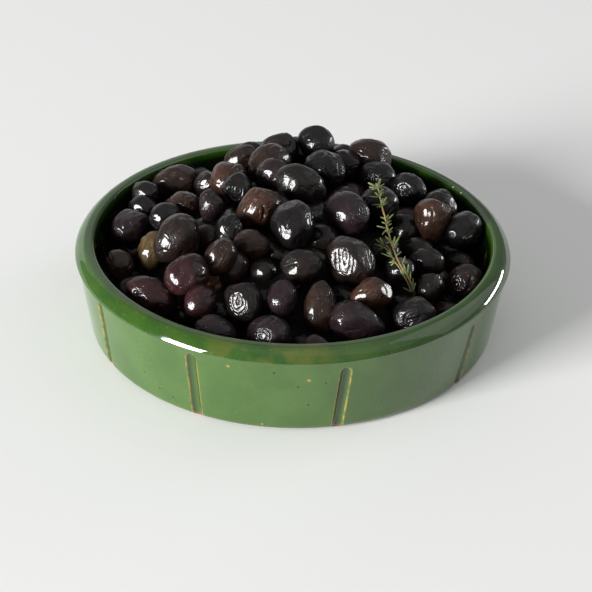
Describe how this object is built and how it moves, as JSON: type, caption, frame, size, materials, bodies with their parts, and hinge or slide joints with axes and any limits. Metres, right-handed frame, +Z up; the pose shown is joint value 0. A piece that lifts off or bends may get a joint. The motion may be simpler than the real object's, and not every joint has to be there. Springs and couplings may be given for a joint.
{
  "type": "dish of olives",
  "caption": "Round glazed earthenware dish with a rolled lip and cut grooves round its wall, heaped with shiny black and brown olives and a sprig of thyme.",
  "frame": {"origin": "the middle of the dish's foot, at the level that the dish stands on", "axes": "+Z up through the dish's middle; -Y is the front, from where the object is usually seen; +X is to the right"},
  "size_m": [0.2, 0.2, 0.0645],
  "materials": {
    "green_glaze": "glossy green glaze on earthenware, yellow-olive where it is thin on the lip, ochre on the arrises of the grooves",
    "olive_skin": "wet wrinkled olive skin, near black, brown, chestnut and purple-grey",
    "thyme": "soft matte green leaves on a tan stem"
  },
  "bodies": {
    "root": {"dish": "green_glaze", "olives": "olive_skin", "thyme_sprig": "thyme"}
  },
  "joints": []
}
